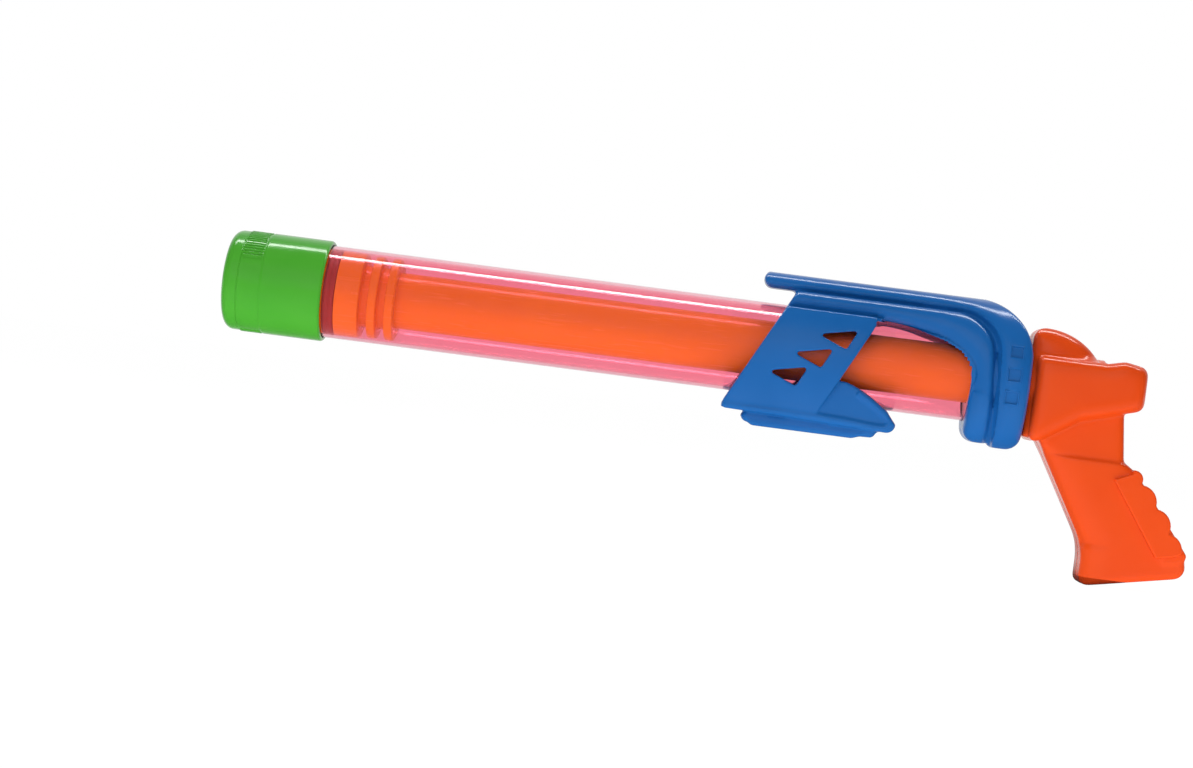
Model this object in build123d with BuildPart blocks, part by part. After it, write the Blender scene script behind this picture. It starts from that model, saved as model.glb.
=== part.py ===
# Hand-pumped water squirter. X runs along the barrel from the outlet to the handle, Z is up,
# and the origin is the outlet's centre on the front face. Sizes are in millimetres.
import os
from math import cos, radians, sin, sqrt, tan

from build123d import *

os.makedirs("parts", exist_ok=True)

# --- Driving dimensions ---------------------------------------------------------------
# Barrel tube, plunger tube and what guides them
barrel_outer_r = 23.0
barrel_wall = 1.5
barrel_length = 384.5
plunger_outer_r = 14.0
plunger_hole_play = 0.6     # round the plunger in the collar's end wall
plunger_wall = 1.8
slide_fit = 0.05            # radial play of every sliding fit
bead_height = 1.2           # ring on the tube that the fore-grip clamps
bead_width = 3.0
bead_from_rear = 12.0

# Screw cap and washer
cap_length = 49.5
cap_floor = 3.6
cap_wall = 1.9
cap_play = 0.3              # radial play over the tube
cap_edge_radius = 4.5
cap_rim_radius = 1.2
cap_step = 0.4              # the rear skirt stands proud of the front band by this
cap_band_end = 19.0
cap_line_position = 8.0
cap_line_depth = 0.3
outlet_r = 2.0
outlet_boss_r = 5.5
dish_r = 16.0
dish_depth = 1.4
washer_thickness = 2.0
washer_width = 4.5
finger_rib_pitch = 4.0      # degrees between ribs
finger_rib_count = 18
finger_rib_height = 0.45
finger_rib_width = 1.1
finger_rib_taper = 20.0     # degrees
finger_patch_angle = 65.0   # degrees above the near side, the other patch is opposite

# Piston
piston_front_gap = 2.0
piston_play = 0.35
piston_nose_length = 60.0
piston_nose_chamfer = 1.5
guide_play = 1.0            # the rear guide rings are this much smaller than the bore
guide_ring_width = 4.4
guide_groove_width = 4.2
piston_socket_wall = 1.4
socket_depth = 22.0
seal_width = 5.6
seal_gap = 0.15             # axial play of the seal in its groove
seal_depth = 3.4
seal_from_cap = 0.4         # the seal shows just behind the cap's rim
seal_lip_depth = 0.7

# Rear bush
bush_length = 18.0
bush_flange = 2.0
bush_vent_count = 6
bush_vent_r = 1.6

# Blue fore-grip: two tiers that run along the top and turn down round the tube's end
shell_play = 0.1            # between the mouldings and what they clamp
collar_end_wall = 8.0
collar_half_width = 30.0
collar_bottom = 34.5
rail_top = 38.5
rail_crown = 12.5           # height of the rounded part of both tiers along the top
tier_split_height = 30.3    # the groove between the tiers, along the top
tier_width = 15.6           # of the rear tier where it stands upright
rear_tier_half_width = 12.5
front_tier_half_width = 17.0
front_tier_inset = 1.5      # the front tier stands this much inside the rear one
front_tier_width = 13.3
rail_bend_r = 30.0
bend_overshoot = 0.5        # the bend's arc tops out this much above the rail's crown, so they cross
split_bend_r = 20.0
split_lean = 2.2            # the groove leans back this much on its way down
rail_tip_overhang = 13.0
rail_tip_r = 4.0
shoulder_length = 42.0
shoulder_end = 10.0         # in front of the collar's rear face
shoulder_sections = 5
opening_length = 46.0       # the curved opening between saddle and collar
opening_top = 20.8
opening_drop = 28.8
belly_cut = 1.5             # the collar's round underside is cut flat by this
collar_flank = 2.0          # straight middle of the collar's side
tier_heel_r = 7.0           # rounded lower corners of the tiers
tier_toe_r = 3.5
tier_edge_r = 1.5
middle_margin = 0.5         # edges nearer than this to the middle plane stay sharp
seam_margin = 0.05
mark_count = 3              # square marks on the rear tier
mark_size = 5.6
mark_corner_r = 0.8
mark_depth = 0.7
mark_pitch = 11.3
mark_top = 13.5
mark_from_rear = 8.8

# Saddle of the fore-grip, with its tray and finger pad
saddle_wall = 3.0
saddle_bulge_r = 40.0       # the saddle's side is flatter than the tube
saddle_front = 277.5        # where its slanted front edge meets the saddle's top
saddle_top = 22.5
saddle_top_length = 47.0
saddle_slant = 27.2         # degrees from upright
saddle_bottom = 29.0
saddle_edge_r = 1.0
saddle_corner_r = 3.0
saddle_flare = 0.8          # the saddle's foot stands this much outside the tray
tray_half_width = 21.5
tray_bottom = 31.5
tray_rear_bottom = 34.0
tray_rear_length = 60.0     # behind the saddle's front corner
tray_tail_r = 4.5
tray_tail_length = 27.0
tray_tail_bulge_r = 54.0
tray_tail_top = 11.5        # where the tail leaves the saddle, below the axis
tray_edge_r = 1.2
tube_run_out = 5.0          # the bore's cut starts this far in front of the saddle
pad_half_width = 17.5
pad_neck_half_width = 13.0
pad_top = 34.6
pad_bottom = 38.8
pad_front = 16.5            # in front of the saddle's front corner
pad_length = 68.0
pad_slope = 6.0             # the pad's ends slope by this much
pad_corner_r = 3.0
pad_edge_r = 1.8
window_count = 3
window_first_x = 294.0      # the top window's front tip
window_first_z = 9.9
window_step_x = 11.2
window_step_z = 10.4
window_length = 19.5
window_rise = 4.0
window_height = 9.8
window_corner_r = 0.8

# Self-tapping screws
screw_r = 1.3
screw_length = 12.0
screw_head_r = 2.6
screw_head_height = 1.8
screw_play = 0.15
screw_clear = 0.6           # between a head and the tube
screw_tip_gap = 1.0
screw_seat = 3.6            # material under the head
screw_boss_wall = 2.0
screw_head_chamfer = 0.5
rail_front_screw = 14.5     # screws of the fore-grip, behind the saddle's front corner
rail_rear_screw = 62.5
tray_front_screw = 5.5      # this one in front of it
tray_rear_screw = 44.5
tray_screw_drop = 1.2
collar_top_screw = 14.0     # in front of the collar's rear face
collar_top_screw_rise = 2.0
collar_foot_screw = 9.0
collar_foot_screw_drop = 2.5

# Handle
handle_gap = 0.5            # between collar and handle when the plunger is fully in
handle_wall = 2.4
block_setback = 2.8         # the side block starts this far behind the handle's front face
block_half_width = 21.0
block_top = 14.0
block_bottom = 30.0
block_rear = 57.5
block_tail_bottom = 7.0
block_edge_r = 3.0
block_rear_r = 5.0          # rounded rear corners of the side block
block_crest_x = 46.0        # the block's top dips behind the hood and rises to here
block_crest_rise = 2.2
block_tail_length = 9.0
block_tail_rise = 2.5
block_chin_x = 27.0         # the lower edge steepens in front of here
block_chin_bottom = 15.5
block_throat_x = 10.0
block_throat_bottom = 27.0
hood_half_width = 15.0
hood_top = 28.0
hood_bottom = 27.0
hood_length = 38.0
hood_foot_length = 12.0
hood_front_r = 6.0
hood_edge_r = 4.0
neck_half_width = 14.5
neck_top = 5.0              # the neck runs up into the block to here, below the axis
neck_front_x = 7.0
neck_throat_x = 5.0
neck_throat_bottom = 21.5
neck_rear_x = 48.6
neck_waist_x = 52.0         # narrowest place of the neck's back, above the palm rest
neck_waist_rise = 4.0
grip_half_width = 16.0
grip_edge_r = 3.5
neck_bottom = 34.0          # the lower grip starts here with a crisp step
grip_bottom = 96.8
grip_front_x = 37.0
grip_knee_z = 76.5          # where the grip's front turns upright
grip_knee_r = 30.0
grip_rear_x = 89.7
grip_bottom_rise = 10.5     # the grip's foot slopes up this much to the rear
grip_lap = 10.0             # the neck runs on inside the lower grip
grip_corner_r = 4.0
grip_heel_r = 6.0
back_top_x = 57.8           # upper corner of the grip's back, behind the handle's front face
back_top_z = -37.0
back_length = 46.5
back_angle = -51.5          # degrees, direction of the back
palm_lobe_count = 3         # rounded lobes of the palm rest, one below the other on the back
palm_lobe_r = 7.5
palm_lobe_height = 2.75
palm_lobe_pitch = 13.7
first_palm_lobe = 15.8      # from the back's upper corner
top_lobe_r = 4.7            # a smaller lobe over them
top_lobe_place = 4.4
panel_height = 0.8          # the palm rest stands proud of the grip's side
panel_top_width = 9.5
panel_foot_width = 12.5
panel_edge_r = 0.6
lobe_edge_r = 2.0
tube_in_handle = 36.0
tube_housing_wall = 2.0
pin_r = 3.0
pin_from_front = 26.0
pin_wall = 3.0              # of shell left over the pin's ends
pin_chamfer = 0.5
hood_screw_x = 17.0         # screws of the handle, behind its front face and above the axis
hood_screw_z = 21.5
tail_screw_x = 48.0
tail_screw_z = 3.0
waist_screw_x = 40.0
waist_screw_z = -45.0
foot_screw_x = 62.0
foot_screw_z = -80.0

# --- Places worked out from the sizes above -------------------------------------------
barrel_bore_r = barrel_outer_r - barrel_wall
cap_bore_r = barrel_outer_r + cap_play
cap_skirt_r = cap_bore_r + cap_wall
cap_band_r = cap_skirt_r - cap_step
barrel_front = cap_floor + washer_thickness
barrel_rear = barrel_front + barrel_length
bush_end = barrel_rear + bush_flange
collar_rear = bush_end + shell_play + collar_end_wall
handle_front = collar_rear + handle_gap
piston_front = barrel_front + piston_front_gap
piston_r = barrel_bore_r - piston_play
piston_guide_r = barrel_bore_r - guide_play
piston_core_r = plunger_outer_r + piston_socket_wall
nose_end = piston_front + piston_nose_length
first_ring = nose_end + guide_groove_width
second_ring = first_ring + guide_ring_width + guide_groove_width
piston_rear = second_ring + guide_ring_width
seal_front = cap_length + seal_from_cap
seal_groove_front = seal_front - seal_gap
seal_groove_width = seal_width + 2 * seal_gap
seal_outer_r = barrel_bore_r - slide_fit
seal_core_r = piston_r - seal_depth
plunger_front = piston_rear - socket_depth
plunger_rear = handle_front + tube_in_handle
bush_front = barrel_rear - bush_length
bead_centre = barrel_rear - bead_from_rear
pin_centre = handle_front + pin_from_front
pin_half_length = block_half_width - pin_wall


# --- Screw cap ------------------------------------------------------------------------
# One green moulding: a thick-edged cup with a dished front, a plain rear skirt and
# two patches of fine ribs for finger and thumb on the front band.
with BuildPart() as nozzle_cap:
    with BuildSketch(Plane.XZ):
        with BuildLine():
            Polyline(
                (dish_depth, outlet_r),
                (0, outlet_r),
                (0, outlet_boss_r),
                (dish_depth, outlet_boss_r),
                (dish_depth, dish_r),
                (0, dish_r),
                (0, cap_band_r - cap_edge_radius),
            )
            RadiusArc((0, cap_band_r - cap_edge_radius), (cap_edge_radius, cap_band_r), cap_edge_radius)
            Polyline(
                (cap_edge_radius, cap_band_r),
                (cap_line_position, cap_band_r),
                (cap_line_position, cap_band_r - cap_line_depth),
                (cap_line_position + cap_line_depth, cap_band_r - cap_line_depth),
                (cap_line_position + cap_line_depth, cap_band_r),
                (cap_band_end, cap_band_r),
                (cap_band_end, cap_skirt_r),
                (cap_length, cap_skirt_r),
                (cap_length, cap_bore_r),
                (cap_floor, cap_bore_r),
                (cap_floor, outlet_r),
                (dish_depth, outlet_r),
            )
        make_face()
    revolve(axis=Axis.X)
    rim = nozzle_cap.edges().filter_by(GeomType.CIRCLE).group_by(Axis.X)[-1].sort_by(SortBy.RADIUS)[-1]
    fillet(rim, radius=cap_rim_radius)
    rib_length = cap_band_end - cap_line_position - 2 * cap_line_depth
    rib_middle = cap_band_end - rib_length / 2
    rib_planes = []
    for patch_angle in (finger_patch_angle, finger_patch_angle + 180):
        for rib in range(finger_rib_count):
            angle = radians(patch_angle + (rib - (finger_rib_count - 1) / 2) * finger_rib_pitch)
            outward = Vector(0, -cos(angle), sin(angle))
            foot = outward * (cap_band_r - finger_rib_height) + Vector(rib_middle, 0, 0)
            rib_planes.append(Plane(origin=foot, x_dir=(1, 0, 0), z_dir=outward))
    with BuildSketch(*rib_planes):
        Rectangle(rib_length, finger_rib_width)
    extrude(amount=2 * finger_rib_height, taper=finger_rib_taper)
nozzle_cap.part.label = "nozzle_cap"
export_step(nozzle_cap.part, "parts/nozzle_cap.step")

# --- Washer under the cap's floor -----------------------------------------------------
with BuildPart() as cap_gasket:
    with BuildSketch(Plane.YZ.offset(cap_floor)):
        Circle(barrel_outer_r)
        Circle(barrel_outer_r - washer_width, mode=Mode.SUBTRACT)
    extrude(amount=washer_thickness)
cap_gasket.part.label = "cap_gasket"
export_step(cap_gasket.part, "parts/cap_gasket.step")

# --- Barrel tube ----------------------------------------------------------------------
# A clear straight tube, open at both ends, with one ring near its rear end that the
# fore-grip mouldings close on.
with BuildPart() as barrel_tube:
    with BuildSketch(Plane.YZ.offset(barrel_front)):
        Circle(barrel_outer_r)
    extrude(amount=barrel_length)
    with BuildSketch(Plane.YZ.offset(bead_centre - bead_width / 2)):
        Circle(barrel_outer_r + bead_height)
    extrude(amount=bead_width)
    with BuildSketch(Plane.YZ.offset(barrel_front)):
        Circle(barrel_bore_r)
    extrude(amount=barrel_length, mode=Mode.SUBTRACT)
barrel_tube.part.label = "barrel_tube"
export_step(barrel_tube.part, "parts/barrel_tube.step")

# --- Rear bush ------------------------------------------------------------------------
# A flanged ring in the tube's rear end. The plunger runs in it, the piston stops on it,
# and round vents let air in behind the piston.
with BuildPart() as rear_bush:
    with BuildSketch(Plane.YZ.offset(bush_front)):
        Circle(barrel_bore_r - slide_fit)
    extrude(amount=bush_length)
    with BuildSketch(Plane.YZ.offset(barrel_rear)):
        Circle(barrel_outer_r)
    extrude(amount=bush_flange)
    with BuildSketch(Plane.YZ.offset(bush_front)):
        Circle(plunger_outer_r + slide_fit)
        with PolarLocations((barrel_bore_r + plunger_outer_r) / 2, bush_vent_count):
            Circle(bush_vent_r)
    extrude(amount=bush_length + bush_flange, mode=Mode.SUBTRACT)
rear_bush.part.label = "rear_bush"
export_step(rear_bush.part, "parts/rear_bush.step")

# --- Piston head ----------------------------------------------------------------------
# A long nose with the seal's groove, two guide rings behind it, and a socket that the
# plunger tube is pressed into.
with BuildPart() as piston_head:
    with BuildSketch(Plane.XZ):
        with BuildLine():
            Polyline(
                (piston_front, 0),
                (piston_front, piston_r - piston_nose_chamfer),
                (piston_front + piston_nose_chamfer, piston_r),
                (seal_groove_front, piston_r),
                (seal_groove_front, seal_core_r),
                (seal_groove_front + seal_groove_width, seal_core_r),
                (seal_groove_front + seal_groove_width, piston_r),
                (nose_end, piston_r),
                (nose_end, piston_core_r),
                (first_ring, piston_core_r),
                (first_ring, piston_guide_r),
                (first_ring + guide_ring_width, piston_guide_r),
                (first_ring + guide_ring_width, piston_core_r),
                (second_ring, piston_core_r),
                (second_ring, piston_guide_r),
                (piston_rear, piston_guide_r),
                (piston_rear, plunger_outer_r),
                (plunger_front, plunger_outer_r),
                (plunger_front, 0),
                (piston_front, 0),
            )
        make_face()
    revolve(axis=Axis.X)
piston_head.part.label = "piston_head"
export_step(piston_head.part, "parts/piston_head.step")

# --- Piston seal ----------------------------------------------------------------------
# A rubber ring with two lips, which slides in the tube and lets the piston turn in it.
with BuildPart() as piston_seal:
    with BuildSketch(Plane.XZ):
        with BuildLine():
            Polyline(
                (seal_front, seal_core_r + slide_fit),
                (seal_front, seal_outer_r - seal_lip_depth),
                (seal_front + seal_lip_depth, seal_outer_r),
                (seal_front + seal_width / 2 - seal_lip_depth, seal_outer_r),
                (seal_front + seal_width / 2, seal_outer_r - seal_lip_depth),
                (seal_front + seal_width / 2 + seal_lip_depth, seal_outer_r),
                (seal_front + seal_width - seal_lip_depth, seal_outer_r),
                (seal_front + seal_width, seal_outer_r - seal_lip_depth),
                (seal_front + seal_width, seal_core_r + slide_fit),
                (seal_front, seal_core_r + slide_fit),
            )
        make_face()
    revolve(axis=Axis.X)
piston_seal.part.label = "piston_seal"
export_step(piston_seal.part, "parts/piston_seal.step")

# --- Plunger tube ---------------------------------------------------------------------
# A plain orange tube from the piston's socket to the handle, with one cross hole.
with BuildPart() as plunger_tube:
    with BuildSketch(Plane.YZ.offset(plunger_front)):
        Circle(plunger_outer_r)
        Circle(plunger_outer_r - plunger_wall, mode=Mode.SUBTRACT)
    extrude(amount=plunger_rear - plunger_front)
    with BuildSketch(Plane.XZ):
        with Locations((pin_centre, 0)):
            Circle(pin_r + slide_fit)
    extrude(amount=plunger_outer_r + slide_fit, both=True, mode=Mode.SUBTRACT)
plunger_tube.part.label = "plunger_tube"
export_step(plunger_tube.part, "parts/plunger_tube.step")

# --- Cross pin ------------------------------------------------------------------------
# Keeps the plunger tube in the handle. Its ends sit in blind holes in the two shells.
with BuildPart() as plunger_pin:
    with BuildSketch(Plane.XZ):
        with Locations((pin_centre, 0)):
            Circle(pin_r)
    extrude(amount=pin_half_length, both=True)
    chamfer(plunger_pin.edges().filter_by(GeomType.CIRCLE), length=pin_chamfer)
plunger_pin.part.label = "plunger_pin"
export_step(plunger_pin.part, "parts/plunger_pin.step")

# --- Fore-grip ------------------------------------------------------------------------
# Two mouldings that meet on the middle plane. The blocks below make the near one.
shoulder_rear = collar_rear - shoulder_end
shoulder_front = shoulder_rear - shoulder_length


def envelope_section(x, half_width, crown, top, base, bottom):
    """Half of a rounded form that limits a tier's cross-section at one station along the barrel."""
    with BuildSketch(Plane.YZ.offset(x)) as section:
        with BuildLine():
            EllipticalCenterArc((0, top - crown), half_width, crown, start_angle=90, arc_size=90)
            Line((-half_width, top - crown), (-half_width, base - bottom))
            EllipticalCenterArc((0, base - bottom), half_width, base, start_angle=180, arc_size=90)
            Line((0, -bottom), (0, top))
        make_face()
    return section.sketch


def tier_envelope(front, narrow, wide, top, bottom):
    """A narrow spine over the tube that swells like a bottle's shoulder into the collar."""
    collar_crown = top - collar_flank / 2
    collar_base = bottom - collar_flank / 2
    with BuildPart() as envelope:
        spine = envelope_section(front, narrow, rail_crown, top, collar_base, bottom)
        extrude(spine, amount=shoulder_front - front)
        sections = []
        for step in range(shoulder_sections):
            share = step / (shoulder_sections - 1)
            swell = share * share * (3 - 2 * share)
            width = narrow + (wide - narrow) * swell
            crown = rail_crown + (collar_crown - rail_crown) * swell
            station = shoulder_front + share * shoulder_length
            sections.append(envelope_section(station, width, crown, top, collar_base, bottom))
        loft(sections=sections)
        collar = envelope_section(shoulder_rear, wide, collar_crown, top, collar_base, bottom)
        extrude(collar, amount=collar_rear - shoulder_rear)
    return envelope.part


def outer_edges(block):
    """The edges to round: all but those on the middle plane and the envelope's own seams."""
    free = block.edges().filter_by(lambda edge: edge.center().Y < -middle_margin)
    seams = (shoulder_front, shoulder_rear)
    return free.filter_by(lambda edge: all(abs(edge.center().X - seam) > seam_margin for seam in seams))


split_x = collar_rear - tier_width - split_lean
split_foot_x = split_x + split_lean
rail_tip = saddle_front - rail_tip_overhang
bend_top = rail_top + bend_overshoot
heel_bottom = -collar_bottom
with BuildPart() as rear_tier:
    belly = collar_bottom + belly_cut
    add(tier_envelope(rail_tip, rear_tier_half_width, collar_half_width, rail_top, belly))
    with BuildSketch(Plane.XZ):
        with BuildLine():
            Line((rail_tip + rail_tip_r, bend_top), (collar_rear - rail_bend_r, bend_top))
            RadiusArc(
                (collar_rear - rail_bend_r, bend_top),
                (collar_rear, bend_top - rail_bend_r),
                rail_bend_r,
            )
            Line((collar_rear, bend_top - rail_bend_r), (collar_rear, heel_bottom + tier_heel_r))
            RadiusArc(
                (collar_rear, heel_bottom + tier_heel_r),
                (collar_rear - tier_heel_r, heel_bottom),
                tier_heel_r,
            )
            Line((collar_rear - tier_heel_r, heel_bottom), (split_foot_x + tier_toe_r, heel_bottom))
            RadiusArc(
                (split_foot_x + tier_toe_r, heel_bottom),
                (split_foot_x, heel_bottom + tier_toe_r),
                tier_toe_r,
            )
            Line((split_foot_x, heel_bottom + tier_toe_r), (split_foot_x, -split_bend_r))
            Line((split_foot_x, -split_bend_r), (split_x, tier_split_height - split_bend_r))
            RadiusArc(
                (split_x, tier_split_height - split_bend_r),
                (split_x - split_bend_r, tier_split_height),
                -split_bend_r,
            )
            Line((split_x - split_bend_r, tier_split_height), (rail_tip + rail_tip_r, tier_split_height))
            ThreePointArc(
                (rail_tip + rail_tip_r, tier_split_height),
                (rail_tip, (bend_top + tier_split_height) / 2),
                (rail_tip + rail_tip_r, bend_top),
            )
        make_face()
    extrude(amount=collar_half_width, mode=Mode.INTERSECT)
    fillet(outer_edges(rear_tier), radius=tier_edge_r)

front_tier_bottom = collar_bottom - front_tier_inset
front_tier_wide = collar_half_width - front_tier_inset
front_heel_bottom = -front_tier_bottom
opening_rear = split_foot_x - front_tier_width
opening_front = opening_rear - opening_length
slant = tan(radians(saddle_slant))
with BuildPart() as front_tier:
    belly = front_tier_bottom + belly_cut
    add(tier_envelope(saddle_front, front_tier_half_width, front_tier_wide, rail_top, belly))
    with BuildSketch(Plane.XZ):
        with BuildLine():
            Line(
                (saddle_front + slant * (tier_split_height - saddle_top), tier_split_height),
                (split_x - split_bend_r, tier_split_height),
            )
            RadiusArc(
                (split_x - split_bend_r, tier_split_height),
                (split_x, tier_split_height - split_bend_r),
                split_bend_r,
            )
            Line((split_x, tier_split_height - split_bend_r), (split_foot_x, -split_bend_r))
            Line((split_foot_x, -split_bend_r), (split_foot_x, front_heel_bottom))
            Line((split_foot_x, front_heel_bottom), (opening_rear + tier_heel_r, front_heel_bottom))
            RadiusArc(
                (opening_rear + tier_heel_r, front_heel_bottom),
                (opening_rear, front_heel_bottom + tier_heel_r),
                tier_heel_r,
            )
            Line(
                (opening_rear, front_heel_bottom + tier_heel_r),
                (opening_rear, opening_top - opening_drop),
            )
            EllipticalCenterArc(
                (opening_front, opening_top - opening_drop),
                opening_length,
                opening_drop,
                start_angle=0,
                arc_size=90,
            )
            Line((opening_front, opening_top), (opening_front, 0))
            Line((opening_front, 0), (saddle_front, 0))
            Line((saddle_front, 0), (saddle_front, saddle_top))
            Line(
                (saddle_front, saddle_top),
                (saddle_front + slant * (tier_split_height - saddle_top), tier_split_height),
            )
        make_face()
    extrude(amount=collar_half_width, mode=Mode.INTERSECT)
    fillet(outer_edges(front_tier), radius=tier_edge_r)

# The saddle is a strap over the tube's side with slanted ends. It flares to the tray below.
saddle_r = barrel_outer_r + shell_play + saddle_wall
saddle_foot = saddle_front - slant * (saddle_top + saddle_bottom)
saddle_rear = saddle_front + saddle_top_length
saddle_rear_foot = saddle_rear - slant * (saddle_top + saddle_bottom)
saddle_crest = saddle_r - saddle_bulge_r + sqrt(saddle_bulge_r ** 2 - saddle_r ** 2)
pocket_bulge_r = saddle_bulge_r - saddle_wall
pocket_crest = saddle_r - saddle_bulge_r + sqrt(pocket_bulge_r ** 2 - saddle_r ** 2)
with BuildPart() as saddle:
    with BuildSketch(Plane.XZ) as saddle_side:
        Polygon(
            (saddle_front, saddle_top),
            (saddle_rear, saddle_top),
            (saddle_rear_foot, -saddle_bottom),
            (saddle_foot, -saddle_bottom),
            align=None,
        )
        fillet(saddle_side.vertices().group_by(Axis.Y)[-1].sort_by(Axis.X)[-1], radius=saddle_corner_r)
    extrude(amount=saddle_r)
    with BuildSketch(Plane.YZ.offset(saddle_foot)):
        with BuildLine():
            RadiusArc((-saddle_r, 0), (-saddle_crest, saddle_r), saddle_bulge_r)
            Line((-saddle_crest, saddle_r), (0, saddle_r))
            Line((0, saddle_r), (0, -saddle_bottom))
            Line((0, -saddle_bottom), (-tray_half_width - saddle_flare, -saddle_bottom))
            Spline(
                (-tray_half_width - saddle_flare, -saddle_bottom),
                (-saddle_r, 0),
                tangents=((-0.3, 1), (0, 1)),
            )
        make_face()
    extrude(amount=saddle_rear - saddle_foot, mode=Mode.INTERSECT)
    fillet(saddle.edges().filter_by(lambda edge: edge.center().Y < -middle_margin), radius=saddle_edge_r)
    # the panel is a wall that stands off the tube above the middle
    with BuildSketch(Plane.YZ.offset(saddle_foot)):
        with BuildLine():
            RadiusArc((-saddle_r + saddle_wall, 0), (-pocket_crest, saddle_r), pocket_bulge_r)
            Line((-pocket_crest, saddle_r), (0, saddle_r))
            Line((0, saddle_r), (0, 0))
            Line((0, 0), (-saddle_r + saddle_wall, 0))
        make_face()
    extrude(amount=saddle_rear - saddle_foot, mode=Mode.SUBTRACT)

# The tray closes the strap below the tube and runs out behind it.
tray_rear = saddle_front + tray_rear_length
tail_foot_x = tray_rear - tray_tail_r
tail_tip_z = -tray_rear_bottom + tray_tail_r
tail_top_x = tray_rear - tray_tail_length
with BuildPart() as tray:
    with BuildSketch(Plane.XZ):
        with BuildLine():
            Line((saddle_foot, -saddle_bottom), (saddle_foot, -tray_bottom))
            Line((saddle_foot, -tray_bottom), (tail_foot_x, -tray_rear_bottom))
            RadiusArc((tail_foot_x, -tray_rear_bottom), (tray_rear, tail_tip_z), -tray_tail_r)
            RadiusArc((tray_rear, tail_tip_z), (tail_top_x, -tray_tail_top), -tray_tail_bulge_r)
            Line((tail_top_x, -tray_tail_top), (saddle_front, -tray_tail_top))
            Line((saddle_front, -tray_tail_top), (saddle_foot, -saddle_bottom))
        make_face()
    extrude(amount=tray_half_width)
    fillet(tray.faces().sort_by(Axis.Y)[0].edges(), radius=tray_edge_r)

# The finger pad hangs below the tray on a narrower neck.
pad_front_x = saddle_front - pad_front
pad_rear_x = pad_front_x + pad_length
with BuildPart() as pad:
    with BuildSketch(Plane.XZ) as pad_side:
        Polygon(
            (pad_front_x, -pad_top),
            (pad_rear_x, -pad_top),
            (pad_rear_x - 2 * pad_slope, -pad_bottom),
            (pad_front_x + pad_slope, -pad_bottom),
            align=None,
        )
        fillet(pad_side.vertices().group_by(Axis.Y)[0], radius=pad_corner_r)
    extrude(amount=pad_half_width)
    fillet(pad.faces().sort_by(Axis.Y)[0].edges(), radius=pad_edge_r)
    with BuildSketch(Plane.XZ):
        Polygon(
            (pad_front_x + pad_slope, -tray_bottom + tray_edge_r),
            (pad_rear_x - pad_slope, -tray_bottom + tray_edge_r),
            (pad_rear_x - pad_slope, -pad_top),
            (pad_front_x + pad_slope, -pad_top),
            align=None,
        )
    extrude(amount=pad_neck_half_width)

with BuildPart() as grip_half:
    add(rear_tier.part)
    add(front_tier.part)
    add(saddle.part)
    add(tray.part)
    add(pad.part)
    # bore for the tube and its ring, and the plunger's hole in the end wall
    with BuildSketch(Plane.YZ.offset(saddle_foot - tube_run_out)):
        Circle(barrel_outer_r + shell_play)
    extrude(amount=bush_end + shell_play - saddle_foot + tube_run_out, mode=Mode.SUBTRACT)
    with BuildSketch(Plane.YZ.offset(bead_centre - bead_width / 2 - shell_play)):
        Circle(barrel_outer_r + bead_height + shell_play)
    extrude(amount=bead_width + 2 * shell_play, mode=Mode.SUBTRACT)
    with BuildSketch(Plane.YZ.offset(bush_end)):
        Circle(plunger_outer_r + plunger_hole_play)
    extrude(amount=collar_rear - bush_end, mode=Mode.SUBTRACT)
    # three windows, one behind the other down the slant
    with BuildSketch(Plane.XZ) as windows:
        for window in range(window_count):
            tip_x = window_first_x - window * window_step_x
            tip_z = window_first_z - window * window_step_z
            Polygon(
                (tip_x, tip_z),
                (tip_x + window_length, tip_z + window_rise),
                (tip_x + window_length - slant * window_height, tip_z + window_rise - window_height),
                align=None,
            )
        fillet(windows.vertices(), radius=window_corner_r)
    extrude(amount=saddle_r, mode=Mode.SUBTRACT)
    # square marks, one above the other on the rear tier
    for mark in range(mark_count):
        mark_z = mark_top - mark * mark_pitch
        half_height = rail_top if mark_z > 0 else collar_bottom
        mark_y = -collar_half_width * sqrt(1 - (mark_z / half_height) ** 2)
        outward = Vector(0, mark_y / collar_half_width ** 2, mark_z / half_height ** 2).normalized()
        floor = Vector(collar_rear - mark_from_rear, mark_y, mark_z) - outward * mark_depth
        with BuildSketch(Plane(origin=floor, x_dir=(1, 0, 0), z_dir=outward)):
            RectangleRounded(mark_size, mark_size, mark_corner_r)
        extrude(amount=mark_size, mode=Mode.SUBTRACT)

# Screws above and below the tube, along the fore-grip
above_tube = barrel_outer_r + shell_play + screw_head_r + screw_clear
grip_screw_places = [
    (saddle_front + rail_front_screw, above_tube),
    (saddle_front + rail_rear_screw, above_tube),
    (collar_rear - collar_top_screw, above_tube + collar_top_screw_rise),
    (collar_rear - collar_foot_screw, -above_tube - collar_foot_screw_drop),
    (saddle_front - tray_front_screw, -above_tube - tray_screw_drop),
    (saddle_front + tray_rear_screw, -above_tube - tray_screw_drop),
]


def circles_at(plane, places, radius):
    """Equal circles at the given places."""
    with BuildSketch(plane) as circles:
        with Locations(*places):
            Circle(radius)
    return circles.sketch


head_plane = Plane.XZ.offset(-screw_seat)


def drill_near_side(places):
    """Blind holes that the screws bite in, from the middle plane into the near moulding."""
    holes = circles_at(Plane.XZ, places, screw_r + slide_fit)
    extrude(holes, amount=screw_length - screw_seat + screw_tip_gap, mode=Mode.SUBTRACT)


def drill_far_side(places):
    """Clearance holes and deep counterbores for the screws in the far moulding."""
    holes = circles_at(Plane.XZ, places, screw_r + screw_play)
    extrude(holes, amount=-screw_seat, mode=Mode.SUBTRACT)
    counterbores = circles_at(head_plane, places, screw_head_r + screw_play)
    extrude(counterbores, amount=-collar_half_width, mode=Mode.SUBTRACT)


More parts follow.
